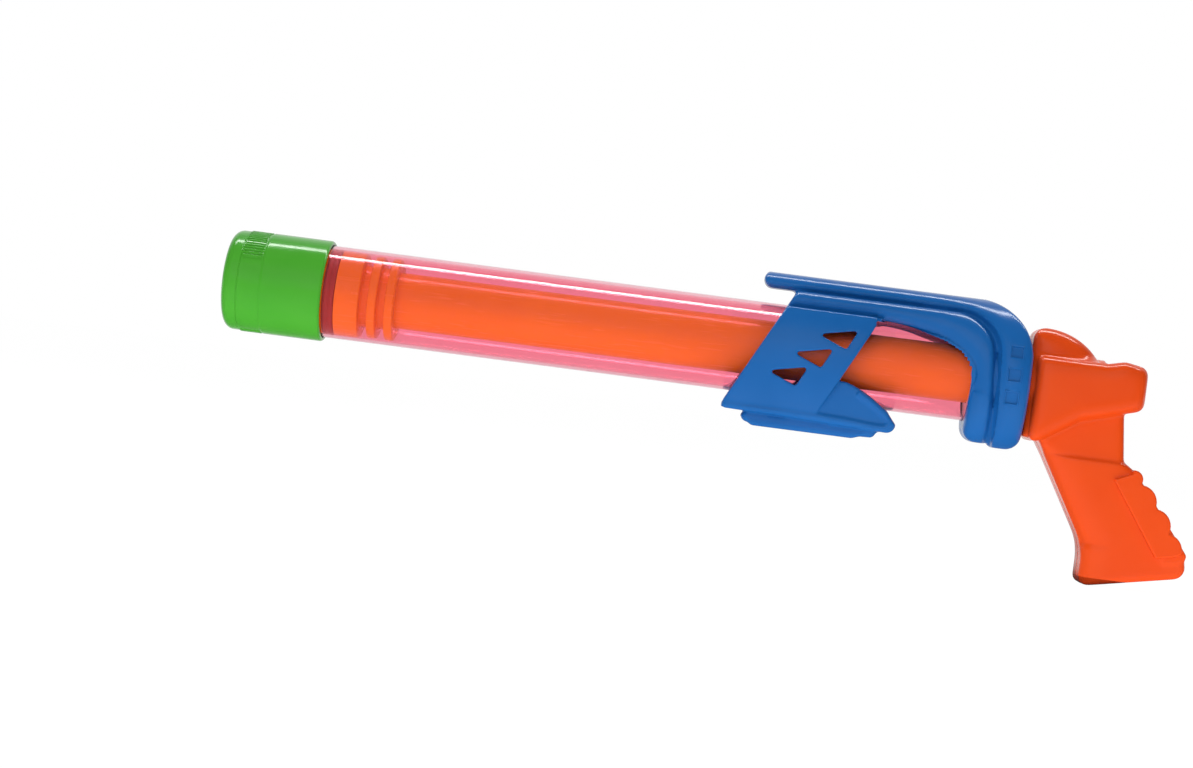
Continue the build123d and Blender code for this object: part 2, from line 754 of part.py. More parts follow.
def make_screws(places):
    """Pan-head self-tapping screws, entered from the far side."""
    with BuildPart() as screws:
        extrude(circles_at(head_plane, places, screw_head_r), amount=-screw_head_height)
        crowns = screws.faces().group_by(Axis.Y)[-1].edges()
        chamfer(crowns, length=screw_head_chamfer)
        extrude(circles_at(head_plane, places, screw_r), amount=screw_length)
    return screws.part


with BuildPart() as grip_left:
    add(grip_half.part)
    drill_near_side(grip_screw_places)
grip_left.part.label = "grip_left"
export_step(grip_left.part, "parts/grip_left.step")

with BuildPart() as grip_right:
    mirror(grip_half.part, about=Plane.XZ)
    drill_far_side(grip_screw_places)
grip_right.part.label = "grip_right"
export_step(grip_right.part, "parts/grip_right.step")

with BuildPart() as grip_screws:
    add(make_screws(grip_screw_places))
grip_screws.part.label = "grip_screws"
export_step(grip_screws.part, "parts/grip_screws.step")

# --- Handle ---------------------------------------------------------------------------
# Two hollow shells that meet on the middle plane and close on the plunger tube. The blocks
# below make the near one: a hood over the tube, a broad side block and the pistol grip.


def along_handle(x, z):
    """A point given by its distance behind the handle's front face."""
    return (handle_front + x, z)


with BuildPart() as hood:
    with BuildSketch(Plane.XZ):
        with BuildLine():
            Line(along_handle(0, -hood_bottom), along_handle(0, hood_top - hood_front_r))
            RadiusArc(
                along_handle(0, hood_top - hood_front_r),
                along_handle(hood_front_r, hood_top),
                hood_front_r,
            )
            EllipticalCenterArc(
                along_handle(hood_front_r, 0),
                hood_length - hood_front_r,
                hood_top,
                start_angle=0,
                arc_size=90,
            )
            Line(along_handle(hood_length, 0), along_handle(hood_foot_length, -hood_bottom))
            Line(along_handle(hood_foot_length, -hood_bottom), along_handle(0, -hood_bottom))
        make_face()
    extrude(amount=hood_half_width)
    fillet(hood.faces().sort_by(Axis.Y)[0].edges(), radius=hood_edge_r)

block_shoulder = along_handle(block_rear, block_top)
block_tail = along_handle(block_rear, -block_tail_bottom)
with BuildPart() as side_block:
    with BuildSketch(Plane.XZ) as block_side:
        Polygon(
            along_handle(block_setback, block_top),
            along_handle(hood_length, block_top),
            along_handle(block_crest_x, block_top + block_crest_rise),
            block_shoulder,
            block_tail,
            along_handle(block_rear - block_tail_length, -block_tail_bottom - block_tail_rise),
            along_handle(block_chin_x, -block_chin_bottom),
            along_handle(block_throat_x, -block_throat_bottom),
            along_handle(block_setback, -block_bottom),
            align=None,
        )
        for corner in (block_shoulder, block_tail):
            fillet(block_side.vertices().sort_by_distance(Vector(*corner))[0], radius=block_rear_r)
        tail_start = handle_front + block_rear - block_tail_length
        fillet(block_side.vertices().filter_by(lambda corner: corner.X < tail_start), radius=block_edge_r)
    extrude(amount=block_half_width)
    fillet(side_block.faces().sort_by(Axis.Y)[0].edges(), radius=block_edge_r)

back_run = Vector(cos(radians(back_angle)), sin(radians(back_angle)))
back_inwards = Vector(back_run.Y, -back_run.X)
back_top = Vector(back_top_x, back_top_z)
back_foot = back_top + back_run * back_length

grip_foot_front = Vector(grip_front_x, -grip_bottom)
grip_foot_rear = Vector(grip_rear_x, -grip_bottom + grip_bottom_rise)
grip_knee = Vector(grip_front_x, -grip_knee_z)
with BuildSketch(Plane.XZ) as grip_side:
    Polygon(
        along_handle(neck_throat_x, -neck_throat_bottom),
        along_handle(grip_knee.X, grip_knee.Y),
        along_handle(grip_foot_front.X, grip_foot_front.Y),
        along_handle(grip_foot_rear.X, grip_foot_rear.Y),
        along_handle(back_foot.X, back_foot.Y),
        along_handle(back_top.X, back_top.Y),
        along_handle(neck_waist_x, back_top_z + neck_waist_rise),
        along_handle(neck_rear_x, -neck_top),
        along_handle(neck_front_x, -neck_top),
        align=None,
    )
    rounded = (
        (grip_foot_front, grip_corner_r),
        (grip_foot_rear, grip_heel_r),
        (back_foot, grip_corner_r),
        (grip_knee, grip_knee_r),
    )
    for corner, radius in rounded:
        corner_point = Vector(*along_handle(corner.X, corner.Y))
        fillet(grip_side.vertices().sort_by_distance(corner_point)[0], radius=radius)

with BuildPart() as neck:
    extrude(grip_side.sketch, amount=neck_half_width)
    split(bisect_by=Plane.XY.offset(-neck_bottom - grip_lap), keep=Keep.TOP)
    near_edges = neck.faces().sort_by(Axis.Y)[0].edges()
    lap_middle = -neck_bottom - grip_lap / 2
    fillet(near_edges.filter_by(lambda edge: edge.center().Z > lap_middle), radius=grip_edge_r)

with BuildPart() as lower_grip:
    extrude(grip_side.sketch, amount=grip_half_width)
    split(bisect_by=Plane.XY.offset(-neck_bottom), keep=Keep.BOTTOM)
    near_edges = lower_grip.faces().sort_by(Axis.Y)[0].edges()
    step_edge = -neck_bottom - middle_margin
    fillet(near_edges.filter_by(lambda edge: edge.center().Z < step_edge), radius=grip_edge_r)

# The palm rest: a thin raised panel along the back, with rounded lobes that stand out behind it
palm_half_width = grip_half_width + panel_height
with BuildPart() as palm_panel:
    with BuildSketch(Plane.XZ):
        panel_top = back_top + back_inwards * panel_top_width
        panel_foot = back_foot + back_inwards * panel_foot_width
        Polygon(
            along_handle(back_top.X, back_top.Y),
            along_handle(back_foot.X, back_foot.Y),
            along_handle(panel_foot.X, panel_foot.Y),
            along_handle(panel_top.X, panel_top.Y),
            align=None,
        )
    extrude(amount=palm_half_width)
    fillet(palm_panel.faces().sort_by(Axis.Y)[0].edges(), radius=panel_edge_r)


def palm_lobe(place, radius):
    """A disc whose rim stands out behind the grip's back, at a distance from the upper corner."""
    centre = back_top + back_run * place + back_inwards * (radius - palm_lobe_height)
    with BuildPart() as lobe:
        extrude(circles_at(Plane.XZ, [along_handle(centre.X, centre.Y)], radius), amount=palm_half_width)
        fillet(lobe.faces().sort_by(Axis.Y)[0].edges(), radius=lobe_edge_r)
    return lobe.part


# Where the two shells are screwed together: place, height and the shell's half width there
handle_screw_places = [
    (hood_screw_x, hood_screw_z, hood_half_width),
    (tail_screw_x, tail_screw_z, block_half_width),
    (waist_screw_x, waist_screw_z, grip_half_width),
    (foot_screw_x, foot_screw_z, grip_half_width),
]
handle_screw_points = [along_handle(x, z) for x, z, half_width in handle_screw_places]

with BuildPart() as handle_shell:
    add(hood.part)
    add(side_block.part)
    add(neck.part)
    add(lower_grip.part)
    add(palm_panel.part)
    add(palm_lobe(top_lobe_place, top_lobe_r))
    for lobe in range(palm_lobe_count):
        add(palm_lobe(first_palm_lobe + lobe * palm_lobe_pitch, palm_lobe_r))
    # hollow grip and block
    with BuildSketch(Plane.XZ):
        offset(grip_side.sketch, amount=-handle_wall)
    extrude(amount=neck_half_width - handle_wall, mode=Mode.SUBTRACT)
    with BuildSketch(Plane.XZ):
        offset(block_side.sketch, amount=-handle_wall)
    extrude(amount=block_half_width - handle_wall, mode=Mode.SUBTRACT)
    # housing of the plunger tube, with the cross pin's bosses
    with BuildSketch(Plane.YZ.offset(handle_front)):
        with BuildLine():
            CenterArc((0, 0), plunger_outer_r + tube_housing_wall, 90, 180)
            Line((0, -plunger_outer_r - tube_housing_wall), (0, plunger_outer_r + tube_housing_wall))
        make_face()
    extrude(amount=tube_in_handle + tube_housing_wall)
    with BuildSketch(Plane.XZ):
        with Locations((pin_centre, 0)):
            Circle(pin_r + tube_housing_wall)
    extrude(amount=block_half_width - handle_wall / 2)
    with BuildSketch(Plane.YZ.offset(handle_front)):
        Circle(plunger_outer_r + slide_fit)
    extrude(amount=tube_in_handle + slide_fit, mode=Mode.SUBTRACT)
    with BuildSketch(Plane.XZ):
        with Locations((pin_centre, 0)):
            Circle(pin_r + slide_fit)
    extrude(amount=pin_half_length + slide_fit, mode=Mode.SUBTRACT)


def add_bosses(boss_r, side):
    """Screw bosses from the middle plane to the shell's wall; side is 1 near, -1 far."""
    for x, z, half_width in handle_screw_places:
        boss = circles_at(Plane.XZ, [along_handle(x, z)], boss_r)
        extrude(boss, amount=side * (half_width - handle_wall / 2))


with BuildPart() as handle_left:
    add(handle_shell.part)
    add_bosses(screw_r + screw_boss_wall, 1)
    drill_near_side(handle_screw_points)
handle_left.part.label = "handle_left"
export_step(handle_left.part, "parts/handle_left.step")

with BuildPart() as handle_right:
    mirror(handle_shell.part, about=Plane.XZ)
    add_bosses(screw_head_r + screw_play + screw_boss_wall / 2, -1)
    drill_far_side(handle_screw_points)
handle_right.part.label = "handle_right"
export_step(handle_right.part, "parts/handle_right.step")

with BuildPart() as handle_screws:
    add(make_screws(handle_screw_points))
handle_screws.part.label = "handle_screws"
export_step(handle_screws.part, "parts/handle_screws.step")
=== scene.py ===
from math import atan2, cos, degrees, radians, sin, sqrt

import bpy
from mathutils import Matrix, Vector


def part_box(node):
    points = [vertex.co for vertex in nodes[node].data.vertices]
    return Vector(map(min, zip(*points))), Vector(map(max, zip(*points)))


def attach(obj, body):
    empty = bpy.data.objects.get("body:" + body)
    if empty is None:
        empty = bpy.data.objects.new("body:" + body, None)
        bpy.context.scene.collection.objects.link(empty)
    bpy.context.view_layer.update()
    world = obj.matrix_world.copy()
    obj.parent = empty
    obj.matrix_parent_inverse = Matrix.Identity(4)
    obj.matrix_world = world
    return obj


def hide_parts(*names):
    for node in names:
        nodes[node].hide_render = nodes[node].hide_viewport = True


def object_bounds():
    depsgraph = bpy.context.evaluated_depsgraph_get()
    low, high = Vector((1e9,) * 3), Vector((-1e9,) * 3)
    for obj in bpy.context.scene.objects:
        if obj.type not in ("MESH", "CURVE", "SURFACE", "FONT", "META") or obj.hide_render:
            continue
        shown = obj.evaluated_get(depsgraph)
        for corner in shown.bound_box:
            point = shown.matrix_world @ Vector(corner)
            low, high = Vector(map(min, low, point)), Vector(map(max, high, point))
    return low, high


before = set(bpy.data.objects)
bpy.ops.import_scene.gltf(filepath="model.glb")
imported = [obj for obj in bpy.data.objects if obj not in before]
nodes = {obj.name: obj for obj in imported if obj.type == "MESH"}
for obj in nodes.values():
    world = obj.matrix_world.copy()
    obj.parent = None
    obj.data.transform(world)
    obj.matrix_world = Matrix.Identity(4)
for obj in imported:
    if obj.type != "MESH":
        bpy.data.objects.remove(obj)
cad_low, cad_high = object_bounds()

# --- Studio ---------------------------------------------------------------------------
# A white table and backdrop, one long strip light over the squirter and soft lights in front
# and below. The room is dim in front, so that glossy plastic keeps its own colour there. The
# camera looks square at the middle plane, and aim_pixel is where its axis meets the picture.
MM = 0.001
photo_width = 1193
photo_height = 768
sensor_width = 36.0
focal_pixels = 2389.0
camera_place = Vector((0.25, -1.1945, -0.0283))
camera_roll = radians(7.45)
aim_pixel = (719.4, 399.6)

camera_data = bpy.data.cameras.new("camera")
camera_data.sensor_width = sensor_width
camera_data.lens = focal_pixels / photo_width * sensor_width
camera_data.shift_x = (photo_width / 2 - aim_pixel[0]) / photo_width
camera_data.shift_y = (aim_pixel[1] - photo_height / 2) / photo_width
camera = bpy.data.objects.new("camera", camera_data)
bpy.context.scene.collection.objects.link(camera)
turn = Matrix.Rotation(radians(90), 4, "X") @ Matrix.Rotation(camera_roll, 4, "Z")
camera.matrix_world = Matrix.Translation(camera_place) @ turn
bpy.context.scene.camera = camera


def add_light(name, place, target, width, height, watts):
    """A soft rectangular lamp at place that faces target."""
    lamp = bpy.data.lights.new(name, "AREA")
    lamp.shape = "RECTANGLE"
    lamp.size = width
    lamp.size_y = height
    lamp.energy = watts
    holder = bpy.data.objects.new(name, lamp)
    bpy.context.scene.collection.objects.link(holder)
    holder.location = place
    holder.rotation_euler = (Vector(target) - Vector(place)).to_track_quat("-Z", "Y").to_euler()
    return holder


part_middle = (cad_low + cad_high) / 2
strip_place = Vector((part_middle.x, 0.16, 1.0))
strip_target = Vector((part_middle.x, 0.0, 0.0))
add_light("strip_light", strip_place, strip_target, width=1.6, height=0.11, watts=9.0)
front_place = Vector((part_middle.x - 0.3, -1.5, 0.5))
front_light = add_light("front_light", front_place, part_middle, width=1.6, height=1.2, watts=14.0)
bounce_place = Vector((part_middle.x, -0.13, cad_low.z + 0.004))
bounce_target = bounce_place + Vector((0, 0, 1))
bounce_light = add_light(
    "bounce_light", bounce_place, bounce_target, width=1.1, height=0.26, watts=1.1
)
for soft_light in (front_light, bounce_light):
    soft_light.visible_glossy = False
    soft_light.visible_camera = False
    soft_light.visible_transmission = False

backdrop_size = 30.0
bpy.ops.object.select_all(action="DESELECT")
bpy.ops.mesh.primitive_grid_add(x_subdivisions=8, y_subdivisions=8, size=backdrop_size)
table = bpy.context.object
table.name = "table"
table.data.transform(Matrix.Translation((part_middle.x, 0.0, cad_low.z)))


def link(tree, source, target):
    tree.links.new(source, target)


def seen_white(tree):
    """Two masks: what the camera sees, also through clear plastic, and what reflections see."""
    path = tree.nodes.new("ShaderNodeLightPath")
    larger = tree.nodes.new("ShaderNodeMath")
    larger.operation = "MAXIMUM"
    larger.use_clamp = True
    link(tree, path.outputs["Is Camera Ray"], larger.inputs[0])
    link(tree, path.outputs["Transmission Depth"], larger.inputs[1])
    seen = tree.nodes.new("ShaderNodeMath")
    seen.operation = "SUBTRACT"
    seen.use_clamp = True
    link(tree, larger.outputs[0], seen.inputs[0])
    link(tree, path.outputs["Is Diffuse Ray"], seen.inputs[1])
    return seen.outputs[0], path.outputs["Is Glossy Ray"]


def brighter_behind(tree, place, near, far, dim, bright):
    """A brightness that grows from dim to bright between two values of Y."""
    parts = tree.nodes.new("ShaderNodeSeparateXYZ")
    link(tree, place, parts.inputs[0])
    depth = tree.nodes.new("ShaderNodeMapRange")
    depth.interpolation_type = "SMOOTHSTEP"
    depth.inputs["From Min"].default_value = near
    depth.inputs["From Max"].default_value = far
    depth.inputs["To Min"].default_value = dim
    depth.inputs["To Max"].default_value = bright
    link(tree, parts.outputs["Y"], depth.inputs["Value"])
    return depth.outputs["Result"]


def mixed(tree, factor, first, second):
    """The first shader, or the second one where factor is 1."""
    blend = tree.nodes.new("ShaderNodeMixShader")
    link(tree, factor, blend.inputs[0])
    link(tree, first, blend.inputs[1])
    link(tree, second, blend.inputs[2])
    return blend.outputs[0]


def scaled(tree, value, share):
    product = tree.nodes.new("ShaderNodeMath")
    product.operation = "MULTIPLY"
    product.inputs[1].default_value = share
    link(tree, value, product.inputs[0])
    return product.outputs[0]


def white_source(tree, kind, strength):
    """A plain white emission or background."""
    source = tree.nodes.new(kind)
    source.inputs["Color"].default_value = (1.0, 1.0, 1.0, 1.0)
    source.inputs["Strength"].default_value = strength
    return source


# the table shows white, keeps a faint shadow and is a dim grey in reflections
dim_front = 0.04
bright_rear = 0.9
glow_share = 0.9
table_material = bpy.data.materials.new("white_table")
table_material.use_nodes = True
tree = table_material.node_tree
tree.nodes.clear()
paper = tree.nodes.new("ShaderNodeBsdfDiffuse")
paper.inputs["Color"].default_value = (0.6, 0.6, 0.6, 1.0)
glow = white_source(tree, "ShaderNodeEmission", 1.1)
mirrored = white_source(tree, "ShaderNodeEmission", 1.0)
place = tree.nodes.new("ShaderNodeTexCoord").outputs["Object"]
reflected = brighter_behind(tree, place, -0.02, 0.3, dim_front, bright_rear)
link(tree, reflected, mirrored.inputs["Strength"])
white, in_gloss = seen_white(tree)
surface = mixed(tree, in_gloss, paper.outputs[0], mirrored.outputs[0])
surface = mixed(tree, scaled(tree, white, glow_share), surface, glow.outputs[0])
out = tree.nodes.new("ShaderNodeOutputMaterial")
link(tree, surface, out.inputs["Surface"])
table.data.materials.append(table_material)

# the room is white behind the squirter and dim in front of it
world = bpy.data.worlds.new("studio")
bpy.context.scene.world = world
world.use_nodes = True
tree = world.node_tree
tree.nodes.clear()
room = white_source(tree, "ShaderNodeBackground", 0.12)
backdrop = white_source(tree, "ShaderNodeBackground", 1.0)
mirrored = white_source(tree, "ShaderNodeBackground", 1.0)
place = tree.nodes.new("ShaderNodeTexCoord").outputs["Generated"]
reflected = brighter_behind(tree, place, 0.0, 0.9, dim_front, bright_rear)
link(tree, reflected, mirrored.inputs["Strength"])
white, in_gloss = seen_white(tree)
surface = mixed(tree, in_gloss, room.outputs[0], mirrored.outputs[0])
surface = mixed(tree, white, surface, backdrop.outputs[0])
out = tree.nodes.new("ShaderNodeOutputWorld")
link(tree, surface, out.inputs["Surface"])

bpy.context.scene.view_settings.view_transform = "Standard"


# --- Screw cap ------------------------------------------------------------------------
# One injection moulding in glossy green plastic: a thick-edged cup with a dished front and a
# small round outlet, a plain skirt and two patches of fine ribs for finger and thumb. It is
# screwed on the tube's front end.
def start_piece(name):
    """Names the new primitive and opens it in edit mode with everything selected."""
    piece = bpy.context.object
    piece.name = name
    piece.data.name = name
    bpy.ops.object.mode_set(mode="EDIT")
    bpy.ops.mesh.select_all(action="SELECT")
    return piece


def finish_piece(piece, smooth_angle=35):
    """Turns the faces outwards, leaves edit mode and puts the place into the mesh."""
    bpy.ops.mesh.select_all(action="SELECT")
    bpy.ops.mesh.remove_doubles(threshold=0.00001)
    bpy.ops.mesh.normals_make_consistent(inside=False)
    bpy.ops.object.mode_set(mode="OBJECT")
    bpy.ops.object.transform_apply(location=True, rotation=True, scale=True)
    bpy.ops.object.shade_smooth_by_angle(angle=radians(smooth_angle))
    return piece


def turned(name, stations, sides, closed=False):
    """A round piece on the barrel's axis, drawn out ring by ring from a circle.

    stations holds (x, radius) in millimetres. A closed one ends where it starts, as a tube's
    wall does, and an open one gets a flat face at each end."""
    bpy.ops.object.select_all(action="DESELECT")
    x, r = stations[0]
    bpy.ops.mesh.primitive_circle_add(
        vertices=sides,
        radius=r * MM,
        fill_type="NOTHING" if closed else "NGON",
        location=(x * MM, 0, 0),
        rotation=(0, radians(90), 0),
    )
    piece = start_piece(name)
    for next_x, next_r in stations[1:]:
        step = ((next_x - x) * MM, 0, 0)
        bpy.ops.mesh.extrude_region_move(TRANSFORM_OT_translate={"value": step})
        grow = next_r / r
        bpy.ops.transform.resize(value=(1, grow, grow), center_override=(next_x * MM, 0, 0))
        x, r = next_x, next_r
    return finish_piece(piece)


def arc(centre, radius, start, end, steps):
    """Stations along an arc, from one angle to the other in degrees."""
    points = []
    for step in range(steps + 1):
        angle = radians(start + (end - start) * step / steps)
        points.append((centre[0] + radius * cos(angle), centre[1] + radius * sin(angle)))
    return points


def moulding_group():
    """What every moulded plastic here shows: slight clouding of the colour, faint handling
    scuffs in the gloss and the fine unevenness of a polished mould."""
    group = bpy.data.node_groups.new("moulded_surface", "ShaderNodeTree")
    for name, kind, value in (
        ("Color", "NodeSocketColor", (0.5, 0.5, 0.5, 1.0)),
        ("Cloud Color", "NodeSocketColor", (0.4, 0.4, 0.4, 1.0)),
        ("Gloss", "NodeSocketFloat", 0.2),
        ("Scuffs", "NodeSocketFloat", 0.1),
        ("Cloud Scale", "NodeSocketFloat", 30.0),
    ):
        socket = group.interface.new_socket(name, in_out="INPUT", socket_type=kind)
        socket.default_value = value
    for name, kind in (
        ("Color", "NodeSocketColor"),
        ("Roughness", "NodeSocketFloat"),
        ("Height", "NodeSocketFloat"),
    ):
        group.interface.new_socket(name, in_out="OUTPUT", socket_type=kind)
    entry = group.nodes.new("NodeGroupInput")
    leave = group.nodes.new("NodeGroupOutput")
    place = group.nodes.new("ShaderNodeTexCoord")

    clouds = group.nodes.new("ShaderNodeTexNoise")
    clouds.inputs["Detail"].default_value = 2.0
    link(group, place.outputs["Object"], clouds.inputs["Vector"])
    link(group, entry.outputs["Cloud Scale"], clouds.inputs["Scale"])
    cloudy = group.nodes.new("ShaderNodeMapRange")
    cloudy.inputs["From Min"].default_value = 0.35
    cloudy.inputs["From Max"].default_value = 0.65
    link(group, clouds.outputs["Fac"], cloudy.inputs["Value"])
    colour = group.nodes.new("ShaderNodeMix")
    colour.data_type = "RGBA"
    link(group, cloudy.outputs["Result"], colour.inputs["Factor"])
    link(group, entry.outputs["Color"], colour.inputs["A"])
    link(group, entry.outputs["Cloud Color"], colour.inputs["B"])
    link(group, colour.outputs["Result"], leave.inputs["Color"])

    stretch = group.nodes.new("ShaderNodeMapping")
    stretch.inputs["Scale"].default_value = (60.0, 900.0, 700.0)
    stretch.inputs["Rotation"].default_value = (0.0, 0.35, 0.2)
    link(group, place.outputs["Object"], stretch.inputs["Vector"])
    streaks = group.nodes.new("ShaderNodeTexNoise")
    streaks.inputs["Scale"].default_value = 1.0
    streaks.inputs["Detail"].default_value = 3.0
    link(group, stretch.outputs["Vector"], streaks.inputs["Vector"])
    scuffed = group.nodes.new("ShaderNodeMapRange")
    scuffed.inputs["From Min"].default_value = 0.52
    scuffed.inputs["From Max"].default_value = 0.75
    link(group, streaks.outputs["Fac"], scuffed.inputs["Value"])
    rougher = group.nodes.new("ShaderNodeMath")
    rougher.operation = "MULTIPLY_ADD"
    link(group, scuffed.outputs["Result"], rougher.inputs[0])
    link(group, entry.outputs["Scuffs"], rougher.inputs[1])
    link(group, entry.outputs["Gloss"], rougher.inputs[2])
    link(group, rougher.outputs[0], leave.inputs["Roughness"])

    peel = group.nodes.new("ShaderNodeTexNoise")
    peel.inputs["Scale"].default_value = 260.0
    peel.inputs["Detail"].default_value = 1.0
    link(group, place.outputs["Object"], peel.inputs["Vector"])
    link(group, peel.outputs["Fac"], leave.inputs["Height"])
    return group


moulded_surface = moulding_group()


def add_surface(tree, colour, cloud_colour, gloss, scuffs, cloud_scale):
    """Puts the moulded surface into a material and feeds its colour and roughness."""
    surface = tree.nodes.new("ShaderNodeGroup")
    surface.node_tree = moulded_surface
    surface.inputs["Color"].default_value = (*colour, 1.0)
    surface.inputs["Cloud Color"].default_value = (*cloud_colour, 1.0)
    surface.inputs["Gloss"].default_value = gloss
    surface.inputs["Scuffs"].default_value = scuffs
    surface.inputs["Cloud Scale"].default_value = cloud_scale
    shader = tree.nodes["Principled BSDF"]
    link(tree, surface.outputs["Color"], shader.inputs["Base Color"])
    link(tree, surface.outputs["Roughness"], shader.inputs["Roughness"])
    return surface


def plastic(name, colour, cloud_colour, gloss, scuffs=0.12, cloud_scale=30.0, peel=0.03):
    """A glossy moulded plastic; peel is the depth of its unevenness in millimetres."""
    material = bpy.data.materials.new(name)
    material.use_nodes = True
    tree = material.node_tree
    shader = tree.nodes["Principled BSDF"]
    surface = add_surface(tree, colour, cloud_colour, gloss, scuffs, cloud_scale)
    bump = tree.nodes.new("ShaderNodeBump")
    bump.inputs["Strength"].default_value = 1.0
    bump.inputs["Distance"].default_value = peel * MM
    link(tree, surface.outputs["Height"], bump.inputs["Height"])
    link(tree, bump.outputs["Normal"], shader.inputs["Normal"])
    shader.inputs["IOR"].default_value = 1.5
    return material


def dress(piece, material, body, node):
    """Gives a new piece its material, lets it ride on its body and stand for its CAD node."""
    piece.data.materials.clear()
    piece.data.materials.append(material)
    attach(piece, body)
    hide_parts(node)


cap_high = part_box("nozzle_cap")[1]
cap_length = cap_high.x / MM
skirt_r = cap_high.y / MM
band_r = skirt_r - 0.4
cap_bore_r = skirt_r - 1.9
cap_edge_r = 4.8
rim_r = 1.5
cap_floor = 3.6
outlet_r = 2.0
boss_r = 5.5
dish_r = 16.0
dish_depth = 1.4
line_x = 8.0
rib_start = 8.7
rib_end = 18.4
skirt_start = 19.4
rib_height = 0.42
rib_step = 4
cap_sides = 360 // rib_step * 2
patch_angle = 65
patch_half_angle = 37

cap_profile = [
    (cap_floor, outlet_r),
    (0.4, outlet_r),
    (0.0, outlet_r + 0.4),
    (0.0, boss_r - 0.3),
    (0.3, boss_r),
    (dish_depth, boss_r + 0.2),
    (dish_depth, dish_r - 0.6),
    (dish_depth - 0.4, dish_r - 0.2),
    (0.3, dish_r),
    (0.0, dish_r + 0.3),
]
cap_profile += arc((cap_edge_r, band_r - cap_edge_r), cap_edge_r, 180, 90, 10)
cap_profile += [
    (line_x - 0.3, band_r),
    (line_x, band_r - 0.25),
    (line_x + 0.25, band_r - 0.25),
    (rib_start - 0.2, band_r),
    (rib_start, band_r),
    (rib_end, band_r),
    (skirt_start - 0.5, band_r),
    (skirt_start - 0.1, band_r + 0.15),
    (skirt_start + 0.3, skirt_r - 0.05),
    (skirt_start + 0.8, skirt_r),
]
cap_profile += arc((cap_length - rim_r, skirt_r - rim_r), rim_r, 90, 0, 6)
cap_profile += [
    (cap_length, cap_bore_r + 0.3),
    (cap_length - 0.3, cap_bore_r),
    (cap_floor, cap_bore_r),
    (cap_floor, outlet_r),
]
screw_cap = turned("screw_cap", cap_profile, cap_sides, closed=True)

# every second strip of the band is drawn outwards as a rib, in two patches
bpy.ops.object.mode_set(mode="EDIT")
bpy.ops.mesh.select_mode(type="FACE")
bpy.ops.mesh.select_all(action="DESELECT")
bpy.ops.object.mode_set(mode="OBJECT")
for face in screw_cap.data.polygons:
    centre = face.center
    on_band = rib_start * MM < centre.x < rib_end * MM and centre.yz.length > (band_r - 1) * MM
    if not on_band:
        continue
    angle = degrees(atan2(centre.z, -centre.y)) % 360
    away = min(abs(angle - patch_angle), abs(angle - patch_angle - 180))
    strip = int(angle // (rib_step / 2))
    face.select = away < patch_half_angle and strip % 2 == 0
bpy.ops.object.mode_set(mode="EDIT")
bpy.ops.mesh.extrude_region_shrink_fatten(TRANSFORM_OT_shrink_fatten={"value": rib_height * MM})
bpy.ops.mesh.inset(thickness=0.0002, depth=0.0, use_individual=True)
bpy.ops.mesh.select_mode(type="VERT")
bpy.ops.object.mode_set(mode="OBJECT")
green_plastic = plastic(
    "green_plastic", (0.06, 0.37, 0.026), (0.07, 0.39, 0.03), gloss=0.16, scuffs=0.1, peel=0.02
)
dress(screw_cap, green_plastic, "cap", "nozzle_cap")

# --- Washer and rear bush -------------------------------------------------------------
# The washer is a flat rubber ring between the cap's floor and the tube. The bush is a plain
# white moulding in the tube's rear end that the plunger runs in. Neither shows from outside.
dark_rubber = plastic(
    "seal_rubber", (0.36, 0.045, 0.02), (0.30, 0.035, 0.018), gloss=0.42, scuffs=0.1, peel=0.05
)
nodes["cap_gasket"].data.materials.clear()
nodes["cap_gasket"].data.materials.append(dark_rubber)
bush_plastic = plastic("bush_plastic", (0.8, 0.8, 0.78), (0.74, 0.74, 0.72), gloss=0.35)
nodes["rear_bush"].data.materials.clear()
nodes["rear_bush"].data.materials.append(bush_plastic)

# --- Piston seal ----------------------------------------------------------------------
# A dark red rubber ring with two lips, seated in the piston's groove. It shows as a dark band
# through the tube just behind the cap.
seal_low, seal_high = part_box("piston_seal")
seal_front = seal_low.x / MM
seal_width = (seal_high.x - seal_low.x) / MM
seal_r = seal_high.y / MM
seal_bore_r = seal_r - 3.6
seal_profile = [(seal_front, seal_bore_r), (seal_front, seal_r - 0.7)]
for lip in (0.25, 0.75):
    lip_x = seal_front + lip * seal_width
    seal_profile += [
        (lip_x - 0.22 * seal_width, seal_r - 0.35),
        (lip_x - 0.12 * seal_width, seal_r - 0.06),
        (lip_x, seal_r),
        (lip_x + 0.12 * seal_width, seal_r - 0.06),
        (lip_x + 0.22 * seal_width, seal_r - 0.35),
    ]
seal_profile += [
    (seal_front + seal_width, seal_r - 0.7),
    (seal_front + seal_width, seal_bore_r),
    (seal_front, seal_bore_r),
]
seal_ring = turned("seal_ring", seal_profile, 144, closed=True)
dress(seal_ring, dark_rubber, "seal", "piston_seal")

